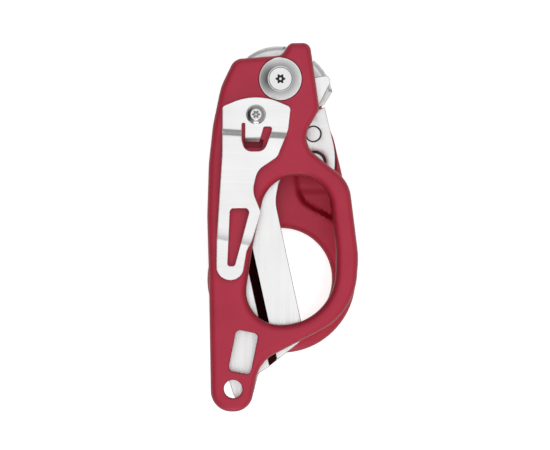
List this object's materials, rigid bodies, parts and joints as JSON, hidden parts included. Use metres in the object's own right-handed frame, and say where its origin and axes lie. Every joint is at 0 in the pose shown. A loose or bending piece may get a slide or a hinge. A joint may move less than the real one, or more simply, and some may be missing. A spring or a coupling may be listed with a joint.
{
  "type": "folding rescue shears",
  "caption": "Folding rescue shears in the folded state, with moulded finger loop and thumb ring handles, steel blades, handle locks, ring cutter and pocket clip.",
  "frame": {"origin": "middle of the folded tool's outline, on the flat back of the rear handle", "axes": "+X from the spine to the finger loop, +Y to the hinge end, +Z from the rear handle to the front handle"},
  "size_m": [0.052, 0.127, 0.0238],
  "materials": {
    "nylon": "satin moulded glass-filled nylon",
    "blade_steel": "fine satin grind",
    "plate_steel": "bead blasted",
    "clip_steel": "satin",
    "hinge_steel": "turned and polished",
    "lever_steel": "knurled rim",
    "dark_steel": "plain",
    "insert_brass": "plain"
  },
  "bodies": {
    "rear_handle_body": {"rear_handle": "nylon", "rear_liner": "plate_steel", "rear_liner_rivet_1": "plate_steel", "rear_liner_rivet_2": "plate_steel", "rear_hinge_barrel": "dark_steel", "rear_hinge_screw": "hinge_steel", "rear_hinge_washer": "hinge_steel", "rear_lock_pivot": "dark_steel", "rear_lock_spring": "dark_steel", "ring_cutter_pivot": "plate_steel"},
    "rear_lock_body": {"rear_lock_lever": "lever_steel", "rear_lock_pin": "dark_steel"},
    "ring_cutter_body": {"ring_cutter": "blade_steel"},
    "rear_blade_body": {"rear_blade": "blade_steel", "blade_pivot_nut": "dark_steel", "blade_pivot_screw": "dark_steel"},
    "front_blade_body": {"front_blade": "blade_steel"},
    "front_handle_body": {"front_handle": "nylon", "front_liner": "plate_steel", "front_liner_rivet_1": "plate_steel", "front_liner_rivet_2": "plate_steel", "front_hinge_barrel": "dark_steel", "front_hinge_screw": "hinge_steel", "front_hinge_washer": "hinge_steel", "front_lock_pivot": "dark_steel", "front_lock_spring": "dark_steel", "pocket_clip": "clip_steel", "clip_screw": "hinge_steel", "clip_insert": "insert_brass"},
    "front_lock_body": {"front_lock_lever": "lever_steel", "front_lock_pin": "dark_steel"}
  },
  "joints": [
    {"name": "rear_handle_fold", "type": "hinge", "parent": "rear_handle_body", "child": "rear_blade_body", "pos_m": [-0.0013, 0.0438, 0.009], "axis": [0, 0, 1], "range_deg": [-145, 0]},
    {"name": "blade_pivot", "type": "hinge", "parent": "rear_blade_body", "child": "front_blade_body", "pos_m": [-0.0153, 0.0229, 0.01025], "axis": [0, 0, 1], "range_deg": [0, 45]},
    {"name": "front_handle_fold", "type": "hinge", "parent": "front_blade_body", "child": "front_handle_body", "pos_m": [-0.0007, 0.0511, 0.0115], "axis": [0, 0, 1], "range_deg": [-165, 0]},
    {"name": "front_lock", "type": "hinge", "parent": "front_handle_body", "child": "front_lock_body", "pos_m": [-0.0105, 0.0521, 0.0134], "axis": [0, 0, 1], "range_deg": [0, 7], "stiffness_Nm_per_rad": 0.05},
    {"name": "rear_lock", "type": "hinge", "parent": "rear_handle_body", "child": "rear_lock_body", "pos_m": [0.0086, 0.0441, 0.0071], "axis": [0, 0, 1], "range_deg": [-7, 0], "stiffness_Nm_per_rad": 0.05},
    {"name": "ring_cutter_fold", "type": "hinge", "parent": "rear_handle_body", "child": "ring_cutter_body", "pos_m": [0.0111, 0.0224, 0.0028], "axis": [0, 0, 1], "range_deg": [-150, 0]}
  ]
}
